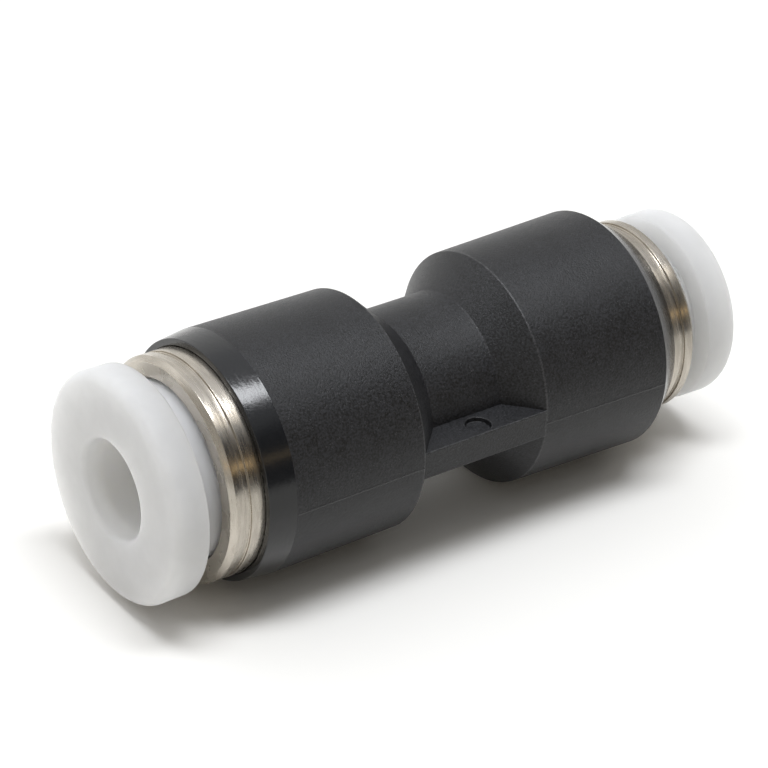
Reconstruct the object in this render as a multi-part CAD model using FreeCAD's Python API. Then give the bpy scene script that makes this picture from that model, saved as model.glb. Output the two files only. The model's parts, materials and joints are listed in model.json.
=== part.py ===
import FreeCAD, Part
import math
import os
from dataclasses import dataclass

# Straight push-in reducer that joins two plastic tubes of different outside diameter.
# The common axis is X. The large tube enters from -X and the small tube from +X, +Z is up,
# and the two webs of the neck lie in the XY plane. The origin is the centre of the face
# that stops the large tube. All sizes are in millimetres.

SAME_POINT = 1e-6

# Tubes that the fitting takes: 3/16 inch and 1/8 inch outside diameter
LARGE_TUBE_D = 4.7625
SMALL_TUBE_D = 3.175

# How far each tube goes in, from the face of its button to its stop, and the wall between the stops
LARGE_DEPTH = 14.52
SMALL_DEPTH = 13.46
STOP_SPACING = 6.2
LARGE_FLOW_D = 3.2
SMALL_FLOW_D = 2.3

# Body: tube seats, seal grooves, barrels, glossy lips, shoulders, neck and webs
SEAT_GAP = 0.05
LARGE_BARREL_WALL = 0.54
SMALL_BARREL_WALL = 1.19
BARREL_L = 7.36
LARGE_DRAFT = 0.08
SMALL_DRAFT = 0.16
LIP_L = 1.42
LARGE_LIP_WALL = 0.35
SMALL_LIP_WALL = 0.14
NECK_D = 8.78
SHOULDER_ANGLE = 45.0
WEB_T = 1.5
WEB_STEP = 0.02
PIN_MARK_D = 1.3
PIN_MARK_DEPTH = 0.25
PIN_MARK_INSET = 0.78

# Release button: flange, bored nose and a slit skirt with snap barbs
FLANGE_T = 1.84
LARGE_FLANGE_RISE = 1.30
SMALL_FLANGE_RISE = 1.21
FLANGE_EDGE_R = 0.5
FLANGE_DRAFT = 0.04
BORE_CHAMFER = 0.2
BUTTON_BORE_GAP = 0.12
NOSE_WALL = 0.5
NOSE_TIP = 0.18
POCKET_W = 0.75
SKIRT_WALL = 0.7
SLIT_COUNT = 4
SLIT_W = 0.7
SLIT_ANGLE = 45.0
BARB_H = 0.3
BARB_L = 0.45
BARB_TAPER_L = 0.65

# Travel of each button and the gap that is left between flange and collar at its end
LARGE_TRAVEL = 1.2
SMALL_TRAVEL = 0.88
TRAVEL_GAP = 0.1

# Collar: plated sleeve that is pressed into the body and holds the button and the claw ring
LARGE_COLLAR_WALL = 0.61
SMALL_COLLAR_WALL = 0.74
LARGE_COLLAR_PROUD = 1.78
SMALL_COLLAR_PROUD = 1.51
LARGE_COLLAR_L = 3.88
SMALL_COLLAR_L = 3.83
COLLAR_LIP_L = 1.0
COLLAR_CHAMFER = 0.25
COLLAR_SINK = 0.12
GROOVE_AT = 0.72
GROOVE_W = 0.32
GROOVE_DEPTH = 0.12
GRIP_GROOVES = 2
GRIP_GROOVE_PITCH = 0.7
RUNNING_GAP = 0.08
BARB_GAP = 0.25
PRESS_GAP = 0.02

# Claw ring: thin steel washer with a crown of teeth that lean inward, away from the mouth
CLAW_T = 0.2
CLAW_RIM_W = 1.15
CLAW_DROP = 1.2
CLAW_BITE = 0.13
LARGE_TOOTH_COUNT = 12
SMALL_TOOTH_COUNT = 10
TOOTH_SLOT_W = 0.42
TOOTH_ROOT = 0.15
SIDE_GAP = 0.05
NOSE_TO_CLAW = 0.25

# Backup ring: seat for the claws with a recess that the nose bends them into
BACKUP_LIP = 0.3
BACKUP_NOSE_GAP = 0.22
BACKUP_BORE_GAP = 0.08
BACKUP_WALL = 0.48
RECESS_CLEAR = 0.35
RECESS_MOUTH_GAP = 0.06

# Lip seal
SEAL_L = 1.6
SEAL_WALL = 1.6
SEAL_SQUEEZE = 0.12
SEAL_LIP_T = 0.45
SEAL_NOTCH_L = 0.7


@dataclass(frozen=True)
class End:
    """One end of the fitting. Places along it are s, counted from the tube's stop to the mouth."""

    name: str
    stop_x: float
    way: float
    tube_d: float
    depth: float
    flow_d: float
    barrel_wall: float
    draft: float
    lip_wall: float
    flange_rise: float
    travel: float
    collar_wall: float
    collar_proud: float
    collar_l: float
    tooth_count: int

    def x(self, s):
        return self.stop_x + self.way * s

    # Radii from the tube outward
    @property
    def seat_r(self):
        return self.tube_d / 2 + SEAT_GAP

    @property
    def bore_r(self):
        return self.tube_d / 2 + BUTTON_BORE_GAP

    @property
    def nose_r(self):
        return self.bore_r + NOSE_WALL

    @property
    def pocket_r(self):
        return self.nose_r + POCKET_W

    @property
    def skirt_r(self):
        return self.pocket_r + SKIRT_WALL

    @property
    def flange_r(self):
        return self.skirt_r + self.flange_rise

    @property
    def barb_r(self):
        return self.skirt_r + BARB_H

    @property
    def collar_lip_r(self):
        return self.skirt_r + RUNNING_GAP

    @property
    def collar_bore_r(self):
        return self.barb_r + BARB_GAP

    @property
    def collar_r(self):
        return self.collar_bore_r + self.collar_wall

    @property
    def socket_r(self):
        return self.collar_r + PRESS_GAP

    @property
    def lip_r(self):
        return self.socket_r + self.lip_wall

    @property
    def mouth_r(self):
        return self.socket_r + self.barrel_wall

    @property
    def waist_r(self):
        return self.mouth_r - self.draft

    @property
    def rim_r(self):
        return self.socket_r - RUNNING_GAP

    @property
    def bend_r(self):
        return self.rim_r - CLAW_RIM_W

    @property
    def tip_r(self):
        return self.tube_d / 2 - CLAW_BITE

    @property
    def backup_r(self):
        return self.bend_r + BACKUP_WALL

    @property
    def backup_socket_r(self):
        return self.backup_r + PRESS_GAP

    @property
    def backup_bore_r(self):
        return self.tube_d / 2 + BACKUP_BORE_GAP

    @property
    def seal_r(self):
        return self.seat_r + SEAL_WALL

    @property
    def seal_bore_r(self):
        return self.tube_d / 2 - SEAL_SQUEEZE

    # Places along the axis, from the face of the button inward
    @property
    def flange_s(self):
        return self.depth - FLANGE_T

    @property
    def face_s(self):
        return self.flange_s - self.travel - TRAVEL_GAP

    @property
    def barb_s(self):
        return self.face_s - COLLAR_LIP_L - SIDE_GAP

    @property
    def skirt_end_s(self):
        return self.barb_s - BARB_L - BARB_TAPER_L

    @property
    def collar_s(self):
        return self.face_s - self.collar_l

    @property
    def claw_s(self):
        return self.collar_s - SIDE_GAP - CLAW_T

    @property
    def backup_top_s(self):
        return self.claw_s - SIDE_GAP

    @property
    def claw_slope(self):
        return CLAW_DROP / (self.bend_r - self.tip_r)

    @property
    def nose_drop(self):
        """How far the nose reaches in below the top of the backup ring at rest."""
        claw_top = SIDE_GAP + CLAW_T
        return self.claw_slope * (self.bend_r - self.nose_r) - claw_top - NOSE_TO_CLAW

    @property
    def nose_s(self):
        return self.backup_top_s - self.nose_drop

    @property
    def backup_floor_s(self):
        return self.nose_s - self.travel - BACKUP_NOSE_GAP

    @property
    def backup_s(self):
        return self.backup_floor_s - BACKUP_LIP

    @property
    def seal_s(self):
        return self.backup_s - SEAL_L

    # Places along the barrel, from its mouth inward
    @property
    def mouth_s(self):
        return self.face_s - self.collar_proud

    @property
    def barrel_s(self):
        return self.mouth_s - LIP_L

    @property
    def waist_s(self):
        return self.barrel_s - BARREL_L

    @property
    def neck_s(self):
        return self.waist_s - (self.waist_r - NECK_D / 2) / math.tan(math.radians(SHOULDER_ANGLE))


LARGE = End("large", 0.0, -1.0, LARGE_TUBE_D, LARGE_DEPTH, LARGE_FLOW_D, LARGE_BARREL_WALL,
            LARGE_DRAFT, LARGE_LIP_WALL, LARGE_FLANGE_RISE, LARGE_TRAVEL, LARGE_COLLAR_WALL,
            LARGE_COLLAR_PROUD, LARGE_COLLAR_L, LARGE_TOOTH_COUNT)
SMALL = End("small", STOP_SPACING, 1.0, SMALL_TUBE_D, SMALL_DEPTH, SMALL_FLOW_D, SMALL_BARREL_WALL,
            SMALL_DRAFT, SMALL_LIP_WALL, SMALL_FLANGE_RISE, SMALL_TRAVEL, SMALL_COLLAR_WALL,
            SMALL_COLLAR_PROUD, SMALL_COLLAR_L, SMALL_TOOTH_COUNT)
FLOW_STEP_X = (LARGE.stop_x + SMALL.stop_x) / 2
WEB_Y = min(LARGE.waist_r, SMALL.waist_r) - WEB_STEP


def rounded_edges(corners):
    """Edges of a closed outline in the XY plane. A corner is (x, y) or (x, y, radius of its round)."""
    count = len(corners)
    points = [FreeCAD.Vector(c[0], c[1], 0) for c in corners]
    starts, ends, edges = [], [], []
    for i in range(count):
        before, here, after = points[i - 1], points[i], points[(i + 1) % count]
        radius = corners[i][2] if len(corners[i]) > 2 else 0.0
        to_before = (before - here).normalize()
        to_after = (after - here).normalize()
        half = math.acos(max(-1.0, min(1.0, to_before.dot(to_after)))) / 2
        if radius == 0.0:
            starts.append(here)
            ends.append(here)
            continue
        back = radius / math.tan(half)
        first = here + to_before * back
        last = here + to_after * back
        middle_way = (to_before + to_after).normalize()
        middle = here + middle_way * (radius / math.sin(half) - radius)
        edges.append(Part.Arc(first, middle, last).toShape())
        starts.append(first)
        ends.append(last)
    for i in range(count):
        a, b = ends[i], starts[(i + 1) % count]
        if a.distanceToPoint(b) > SAME_POINT:
            edges.append(Part.LineSegment(a, b).toShape())
    return edges


def turned(corners):
    """Solid of revolution about X of an outline with corners (x, radius) or (x, radius, round)."""
    wire = Part.Wire(Part.__sortEdges__(rounded_edges(corners)))
    face = Part.Face(wire)
    solid = face.revolve(FreeCAD.Vector(0, 0, 0), FreeCAD.Vector(1, 0, 0), 360)
    if solid.Volume < 0:
        solid.reverse()
    return solid


def turned_end(end, corners):
    """Turned solid of one end, with corners (s, radius) or (s, radius, round)."""
    return turned([(end.x(c[0]), *c[1:]) for c in corners])


def box_between(low, high):
    """Box with the two given opposite corners."""
    size = [h - l for l, h in zip(low, high)]
    return Part.makeBox(size[0], size[1], size[2], FreeCAD.Vector(*low))


def slots_round_x(width, x_low, x_high, r_low, r_high, count, first_angle):
    """Radial bars round the X axis, used as cutters for slits and slots."""
    bar = box_between((x_low, -width / 2, r_low), (x_high, width / 2, r_high))
    bars = []
    for i in range(count):
        copy = bar.copy()
        angle = first_angle + 360.0 * i / count
        copy.rotate(FreeCAD.Vector(0, 0, 0), FreeCAD.Vector(1, 0, 0), angle)
        bars.append(copy)
    return Part.makeCompound(bars)


def outer_line(end):
    """Outside of one barrel from the neck to the mouth."""
    return [
        (end.neck_s, NECK_D / 2),
        (end.waist_s, end.waist_r),
        (end.barrel_s, end.mouth_r),
        (end.mouth_s, end.lip_r),
    ]


def inner_line(end):
    """Stepped inside of one barrel from the mouth to the flow bore."""
    return [
        (end.mouth_s, end.socket_r),
        (end.backup_top_s, end.socket_r),
        (end.backup_top_s, end.backup_socket_r),
        (end.backup_s, end.backup_socket_r),
        (end.backup_s, end.seal_r + PRESS_GAP),
        (end.seal_s, end.seal_r + PRESS_GAP),
        (end.seal_s, end.seat_r),
        (0.0, end.seat_r),
        (0.0, end.flow_d / 2),
    ]


def in_x(end, corners):
    """Corners of an end's line with s turned into x."""
    return [(end.x(c[0]), *c[1:]) for c in corners]


def make_webs():
    """Two flat webs that join the barrels across the neck, each with a round ejector mark on top."""
    x_low = LARGE.x(LARGE.waist_s)
    x_high = SMALL.x(SMALL.waist_s)
    x_middle = (LARGE.x(LARGE.neck_s) + SMALL.x(SMALL.neck_s)) / 2
    root_y = (NECK_D / 2 + max(LARGE.flow_d, SMALL.flow_d) / 2) / 2
    webs = []
    for side in (-1, 1):
        near_y, far_y = sorted((side * root_y, side * WEB_Y))
        web = box_between((x_low, near_y, -WEB_T / 2), (x_high, far_y, WEB_T / 2))
        mark_at = FreeCAD.Vector(x_middle, side * (WEB_Y - PIN_MARK_INSET), WEB_T / 2 - PIN_MARK_DEPTH)
        mark = Part.makeCylinder(PIN_MARK_D / 2, WEB_T, mark_at)
        webs.append((web, mark))
    return webs


def make_body():
    """Moulded body: two barrels with stepped bores, the neck, conical shoulders and the webs."""
    outline = in_x(LARGE, reversed(outer_line(LARGE)))
    outline += in_x(SMALL, outer_line(SMALL))
    outline += in_x(SMALL, inner_line(SMALL))
    outline += [(FLOW_STEP_X, SMALL.flow_d / 2), (FLOW_STEP_X, LARGE.flow_d / 2)]
    outline += in_x(LARGE, reversed(inner_line(LARGE)))
    body = turned(outline)
    webs = make_webs()
    body = body.fuse([web for web, mark in webs])
    body = body.cut([mark for web, mark in webs])
    return body.removeSplitter()


def make_button(end):
    """Release button: round-edged flange, bored nose, and a skirt cut into snap fingers with barbs."""
    button = turned_end(end, [
        (end.depth - BORE_CHAMFER, end.bore_r),
        (end.depth, end.bore_r + BORE_CHAMFER),
        (end.depth, end.flange_r, FLANGE_EDGE_R),
        (end.flange_s, end.flange_r - FLANGE_DRAFT),
        (end.flange_s, end.skirt_r),
        (end.barb_s, end.skirt_r),
        (end.barb_s, end.barb_r),
        (end.barb_s - BARB_L, end.barb_r),
        (end.skirt_end_s, end.skirt_r - BARB_H),
        (end.skirt_end_s, end.pocket_r),
        (end.flange_s, end.pocket_r),
        (end.flange_s, end.nose_r),
        (end.nose_s + NOSE_TIP, end.nose_r),
        (end.nose_s, end.nose_r - NOSE_TIP),
        (end.nose_s, end.bore_r),
    ])
    x_low, x_high = sorted((end.x(end.skirt_end_s - BARB_L), end.x(end.face_s)))
    slit_in = (end.nose_r + end.pocket_r) / 2
    slits = slots_round_x(SLIT_W, x_low, x_high, slit_in, end.barb_r + BARB_GAP, SLIT_COUNT, SLIT_ANGLE)
    return button.cut(slits)


def collar_grooves(end):
    """Outline corners of the collar's outside: grip grooves in the body, then the groove that shows."""
    corners = []
    shown_s = end.face_s - GROOVE_AT - GROOVE_W
    middle = (end.collar_s + COLLAR_CHAMFER + end.mouth_s) / 2
    hidden = [middle + GRIP_GROOVE_PITCH * (i - (GRIP_GROOVES - 1) / 2) - GROOVE_W / 2 for i in range(GRIP_GROOVES)]
    for low in sorted(hidden) + [shown_s]:
        corners += [
            (low, end.collar_r),
            (low, end.collar_r - GROOVE_DEPTH),
            (low + GROOVE_W, end.collar_r - GROOVE_DEPTH),
            (low + GROOVE_W, end.collar_r),
        ]
    return corners


def make_collar(end):
    """Plated collar with a chamfered face, an inner lip that keeps the button, and grooves outside."""
    corners = [
        (end.collar_s, end.collar_bore_r),
        (end.collar_s, end.collar_r - COLLAR_CHAMFER),
        (end.collar_s + COLLAR_CHAMFER, end.collar_r),
    ]
    corners += collar_grooves(end)
    corners += [
        (end.face_s - COLLAR_CHAMFER, end.collar_r),
        (end.face_s, end.collar_r - COLLAR_CHAMFER),
        (end.face_s, end.collar_lip_r + COLLAR_SINK),
        (end.face_s - COLLAR_SINK, end.collar_lip_r),
        (end.face_s - COLLAR_LIP_L, end.collar_lip_r),
        (end.face_s - COLLAR_LIP_L, end.collar_bore_r),
    ]
    return turned_end(end, corners)


def make_claw_ring(end):
    """Steel ring: flat rim and a crown of inward leaning teeth, made as a cone with radial slots."""
    low, high = end.claw_s, end.claw_s + CLAW_T
    crown = turned_end(end, [
        (high, end.rim_r),
        (high, end.bend_r),
        (high - CLAW_DROP, end.tip_r),
        (low - CLAW_DROP, end.tip_r),
        (low, end.bend_r),
        (low, end.rim_r),
    ])
    x_low, x_high = sorted((end.x(low - CLAW_DROP - CLAW_T), end.x(high + CLAW_T)))
    slots = slots_round_x(TOOTH_SLOT_W, x_low, x_high, end.tip_r / 2, end.bend_r + TOOTH_ROOT, end.tooth_count, 0.0)
    return crown.cut(slots)


def make_backup_ring(end):
    """Ring behind the claws, with the conical recess that they bend into and a bore that guides the tube."""
    recess_r = end.nose_r + RECESS_CLEAR
    return turned_end(end, [
        (end.backup_s, end.backup_bore_r),
        (end.backup_s, end.backup_r),
        (end.backup_top_s, end.backup_r),
        (end.backup_top_s, end.bend_r + RECESS_MOUTH_GAP),
        (end.backup_floor_s, recess_r),
        (end.backup_floor_s, end.backup_bore_r),
    ])


def make_seal(end):
    """Rubber lip seal: a ring whose inner lip presses on the tube, notched on the side of the pressure."""
    back = end.backup_s - SIDE_GAP
    front = end.seal_s + SIDE_GAP
    notch = front + SEAL_NOTCH_L
    relief = SEAL_SQUEEZE + SEAT_GAP
    return turned_end(end, [
        (back, end.seal_bore_r + relief),
        (back, end.seal_r),
        (front, end.seal_r),
        (front, end.seal_r - SEAL_LIP_T),
        (notch, (end.seal_r + end.seal_bore_r) / 2),
        (front, end.seal_bore_r + SEAL_LIP_T),
        (front, end.seal_bore_r),
    ])


def build_all():
    """All pieces by node name."""
    nodes = {"body": make_body()}
    for end in (LARGE, SMALL):
        nodes[end.name + "_button"] = make_button(end)
        nodes[end.name + "_collar"] = make_collar(end)
        nodes[end.name + "_claw_ring"] = make_claw_ring(end)
        nodes[end.name + "_backup_ring"] = make_backup_ring(end)
        nodes[end.name + "_seal"] = make_seal(end)
    return nodes


def main():
    os.makedirs("parts", exist_ok=True)
    for name, shape in build_all().items():
        solids = shape.Solids
        print(name, "solids", len(solids), "valid", shape.isValid(), "volume %.3f" % shape.Volume)
        part = solids[0] if len(solids) == 1 else Part.makeCompound(solids)
        part.exportStep("parts/" + name + ".step")


main()
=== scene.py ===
"""Dressed model of a push-in reducer fitting that joins two plastic tubes of different size.

The fitting lies along X, with its large end at -X, its small end at +X and Z up. Every size in the
classes is in millimetres, and each finished mesh is scaled to metres in the frame of the CAD model.
The scales of the noises are in features to a metre, and the depths of the bumps in metres.
"""

import json
import logging
import math
from collections.abc import Callable, Iterator
from contextlib import contextmanager
from dataclasses import dataclass
from enum import Enum
from functools import cache, partial, reduce
from typing import Any

import bmesh
import bpy
from mathutils import Matrix, Vector


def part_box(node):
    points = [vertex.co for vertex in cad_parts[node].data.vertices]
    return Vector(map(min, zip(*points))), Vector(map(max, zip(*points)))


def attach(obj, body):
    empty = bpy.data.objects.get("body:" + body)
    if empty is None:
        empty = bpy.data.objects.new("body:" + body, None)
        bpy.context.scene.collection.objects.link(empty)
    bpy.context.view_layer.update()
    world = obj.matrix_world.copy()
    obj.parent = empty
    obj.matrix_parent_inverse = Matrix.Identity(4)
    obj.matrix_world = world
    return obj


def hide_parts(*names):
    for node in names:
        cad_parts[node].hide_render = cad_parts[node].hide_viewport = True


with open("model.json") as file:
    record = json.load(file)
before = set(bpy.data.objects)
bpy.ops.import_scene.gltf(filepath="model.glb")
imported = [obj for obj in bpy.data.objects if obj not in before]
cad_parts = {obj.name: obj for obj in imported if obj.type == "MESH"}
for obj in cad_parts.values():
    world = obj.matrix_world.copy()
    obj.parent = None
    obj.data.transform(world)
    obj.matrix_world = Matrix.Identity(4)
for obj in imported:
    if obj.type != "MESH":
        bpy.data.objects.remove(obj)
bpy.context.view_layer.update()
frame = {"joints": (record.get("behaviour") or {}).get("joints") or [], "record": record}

LOG = logging.getLogger("reducer_fitting")
METRES_PER_MM = 0.001
FRAME_DIGITS = 4
SAME_POINT = 1e-5
FULL_TURN = 2.0 * math.pi
CREASE_ANGLE = math.radians(27.0)
ROUND_STEP = math.radians(12.0)
NORMAL_WEIGHT = 60
FLOOR_GAP = 0.0008

Colour = tuple[float, float, float]
Point = tuple[float, float]
Band = tuple[float, float]

# Values between which a noise mostly lies
NOISE_BAND: Band = (0.3, 0.7)


def in_mm(metres: float) -> float:
    """Length from the frame in millimetres, without the noise of its single precision."""
    return round(metres / METRES_PER_MM, FRAME_DIGITS)


def arc(centre: Point, radius: float, span_deg: Band, steps: int) -> list[Point]:
    """Divides an arc of a flat section.

    Args:
        centre: Centre of the arc.
        radius: Its radius.
        span_deg: Angles of its two ends in degrees.
        steps: Number of steps.

    Returns:
        Points from one end to the other.
    """
    first, last = (math.radians(angle) for angle in span_deg)
    angles = [first + (last - first) * i / steps for i in range(steps + 1)]
    return [(centre[0] + radius * math.cos(a), centre[1] + radius * math.sin(a)) for a in angles]


class Cut(Enum):
    """Ways to combine a solid with a tool."""

    ADD = "UNION"
    REMOVE = "DIFFERENCE"


class Slot(Enum):
    """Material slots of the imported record."""

    BODY = "body_polymer"
    BUTTON = "button_polymer"
    PLATE = "nickel_plate"
    STEEL = "spring_steel"
    RING = "ring_polymer"
    SEAL = "seal_rubber"


@dataclass(frozen=True)
class Noise:
    """Noise texture: its scale, one number or one for each axis, its finer layers and their strength."""

    scale: float | tuple[float, float, float]
    detail: float = 2.0
    roughness: float = 0.5


@dataclass(frozen=True)
class Layer:
    """Noise that is mapped smoothly from a band to a range of results, or used as it is without a band."""

    noise: Noise
    to: Band = (0.0, 1.0)
    band: Band | None = NOISE_BAND


@dataclass(frozen=True)
class Relief:
    """Bump that a noise makes, with its depth in metres."""

    noise: Noise
    depth: float
    strength: float


class NodeBench:
    """Adds nodes to one node tree, each with its settings and inputs in a single call."""

    def __init__(self, tree: bpy.types.NodeTree, coordinates: str = "Object") -> None:
        """Takes over the node tree of a material or of the world, and empties it.

        Args:
            tree: The node tree.
            coordinates: Name of the coordinates that its textures read.
        """
        self.tree = tree
        self.noises: dict[Noise, Any] = {}
        tree.nodes.clear()
        self.place = self.add("ShaderNodeTexCoord").outputs[coordinates]

    def add(self, kind: str, inputs: dict[Any, Any] | None = None, **settings: Any) -> bpy.types.Node:
        """Adds one node.

        Args:
            kind: Blender's name of the node type.
            inputs: Value or output socket for each named or numbered input.
            **settings: Attributes of the node.

        Returns:
            The new node.
        """
        node = self.tree.nodes.new(kind)
        for name, value in settings.items():
            setattr(node, name, value)
        for name, value in (inputs or {}).items():
            self.feed(node.inputs[name], value)
        return node

    def feed(self, socket: bpy.types.NodeSocket, value: Any) -> None:
        """Links or sets one input.

        Args:
            socket: Input to fill.
            value: Output socket to link, or a plain value.
        """
        if isinstance(value, bpy.types.NodeSocket):
            self.tree.links.new(value, socket)
        elif socket.type == "RGBA":
            socket.default_value = (*value, 1.0)
        else:
            socket.default_value = value

    def math(self, operation: str, *values: Any) -> Any:
        """Result of one operation on one or two values."""
        return self.add("ShaderNodeMath", dict(enumerate(values)), operation=operation).outputs[0]

    def fold(self, operation: str, *values: Any) -> Any:
        """Result of an operation on two values, run over a whole row of them."""
        return reduce(partial(self.math, operation), values)

    def length(self, *parts: Any) -> Any:
        """Length of a vector with the given parts."""
        squares = (self.math("MULTIPLY", part, part) for part in parts)
        return self.math("SQRT", self.fold("ADD", *squares))

    def distance(self, place: tuple[Any, Any], point: Point) -> Any:
        """Distance of a place in a flat section from a fixed point of it."""
        return self.length(*(self.math("SUBTRACT", value, at) for value, at in zip(place, point)))

    def ramp(self, value: Any, band: Band, to: Band = (0.0, 1.0)) -> Any:
        """Value mapped smoothly from one band to another, and held beyond both ends."""
        inputs = dict(enumerate((value, *band, *to)))
        return self.add("ShaderNodeMapRange", inputs, interpolation_type="SMOOTHSTEP").outputs[0]

    def blend(self, share: Any, first: Any, second: Any) -> Any:
        """Mix of two colours, with the given share of the second."""
        return self.add("ShaderNodeMix", {0: share, 6: first, 7: second}, data_type="RGBA").outputs[2]

    def scaled(self, scale: tuple[float, float, float]) -> Any:
        """The coordinates scaled by an amount of its own along each axis."""
        return self.add("ShaderNodeMapping", {"Vector": self.place, "Scale": scale}).outputs[0]

    def parts_in_mm(self) -> Any:
        """X, Y and Z of the coordinates in millimetres."""
        return self.add("ShaderNodeSeparateXYZ", {0: self.scaled((1.0 / METRES_PER_MM,) * 3)}).outputs

    def noise(self, noise: Noise) -> Any:
        """Finds the value of a noise, with one texture for all its uses.

        Args:
            noise: The noise.

        Returns:
            The value's socket.
        """
        if noise not in self.noises:
            inputs = {"Vector": self.place, "Scale": noise.scale}
            if isinstance(noise.scale, tuple):
                inputs = {"Vector": self.scaled(noise.scale), "Scale": 1.0}
            inputs |= {"Detail": noise.detail, "Roughness": noise.roughness}
            self.noises[noise] = self.add("ShaderNodeTexNoise", inputs).outputs[0]
        return self.noises[noise]

    def layer(self, layer: Layer) -> Any:
        """Value of a layer."""
        value = self.noise(layer.noise)
        return self.ramp(value, layer.band, layer.to) if layer.band else value

    def bumps(self, reliefs: tuple[Relief, ...]) -> Any:
        """Lays bumps over one another.

        Args:
            reliefs: The bumps, with the lowest first.

        Returns:
            The bumped normal's socket.
        """
        over: dict[str, Any] = {}
        for relief in reliefs:
            height = self.noise(relief.noise)
            inputs = {"Height": height, "Distance": relief.depth, "Strength": relief.strength}
            over = {"Normal": self.add("ShaderNodeBump", inputs | over).outputs[0]}
        return over["Normal"]


@dataclass(frozen=True)
class Finish:
    """Material with one principled shader: two colours that noises mix, a roughness and bumps."""

    name: str
    first: Colour
    second: Colour
    tones: tuple[Layer, ...]
    roughness: Layer
    reliefs: tuple[Relief, ...]
    plain: tuple[tuple[str, Any], ...] = ()

    @cache
    def material(self) -> bpy.types.Material:
        """Builds the material, once for all the pieces that wear it.

        Returns:
            The finished material.
        """
        made = bpy.data.materials.new(self.name)
        made.use_nodes = True
        bench = NodeBench(made.node_tree)
        shader = bench.add("ShaderNodeBsdfPrincipled", self.inputs(bench))
        bench.add("ShaderNodeOutputMaterial", {"Surface": shader.outputs[0]})
        return made

    def inputs(self, bench: NodeBench) -> dict[str, Any]:
        """Works out the shader's inputs.

        Args:
            bench: Node bench of the material.

        Returns:
            Value or output socket for each named input.
        """
        tone = bench.fold("ADD", *(bench.layer(layer) for layer in self.tones))
        return dict(self.plain) | {
            "Base Color": bench.blend(tone, self.first, self.second),
            "Roughness": bench.layer(self.roughness),
            "Normal": bench.bumps(self.reliefs),
        }


@dataclass(frozen=True)
class TurnedPlate(Finish):
    """Plate whose shine is drawn out round the axis of the fitting."""

    def inputs(self, bench: NodeBench) -> dict[str, Any]:
        """Inputs of the shader, with the tangent round the axis."""
        tangent = bench.add("ShaderNodeTangent", direction_type="RADIAL", axis="X").outputs[0]
        return super().inputs(bench) | {"Tangent": tangent}


@dataclass(frozen=True)
class WornAndHighlitEdges:
    """Edges of the body painted pale, partly as wear and partly as a painted highlight of the light they
    catch, with their places in millimetres.
    """

    waists: tuple[Point, ...]
    web_edge: Point
    web_span: Band
    mark: Point
    mark_r: float
    barrel_r: float
    waist_reach: float = 0.085
    waist_share: float = 0.62
    edge_reach: float = 0.07
    edge_share: float = 0.55
    edge_core: float = 0.3
    line_reach: float = 0.06
    line_share: float = 0.85
    line_core: float = 0.4
    line_depth: Band = (0.3, 0.2)
    web_fade: float = 0.1

    def share(self, bench: NodeBench) -> Any:
        """Finds how near a point lies to an edge painted pale, partly as wear and partly as painted
        highlight.

        Args:
            bench: Node bench of the material.

        Returns:
            Socket of a share that is 0 away from every edge painted pale.
        """
        # The waists, the webs' long edges, the rims of the ejector marks and the parting line are painted
        # pale: partly wear, partly painted highlight
        x, y, z = bench.parts_in_mm()
        across, height = bench.math("ABSOLUTE", y), bench.math("ABSOLUTE", z)
        radius = bench.length(y, z)
        reach, most = self.waist_reach, self.waist_share
        waists = [self._near(bench, (x, radius), waist, reach, most) for waist in self.waists]
        reach, most = self.edge_reach, self.edge_share
        edge = self._near(bench, (across, height), self.web_edge, reach, most)
        from_mark = bench.distance((x, across), self.mark)
        rim = self._near(bench, (from_mark, z), (self.mark_r, self.web_edge[1]), reach, most)
        low, high = self.web_span
        ends = bench.ramp(x, (low - self.web_fade, low)), bench.ramp(x, (high + self.web_fade, high))
        along_web = bench.math("MULTIPLY", *ends)
        on_web = bench.math("MULTIPLY", along_web, bench.math("MAXIMUM", edge, rim))
        reach, most = self.line_reach, self.line_share
        # Pale line along the parting line: a painted highlight of the light that its ridge catches
        seam = bench.ramp(height, (reach * self.line_core, reach), (most, 0.0))
        skin = bench.ramp(radius, tuple(self.barrel_r - depth for depth in self.line_depth))
        on_line = bench.fold("MULTIPLY", seam, skin, bench.math("SUBTRACT", 1.0, along_web))
        return bench.fold("MAXIMUM", *waists, on_web, on_line)

    def _near(self, bench: NodeBench, place: tuple[Any, Any], at: Point, reach: float, most: float) -> Any:
        """Share near a line that cuts a flat section at a point, full in its core and 0 at its reach."""
        return bench.ramp(bench.distance(place, at), (reach * self.edge_core, reach), (most, 0.0))


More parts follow.
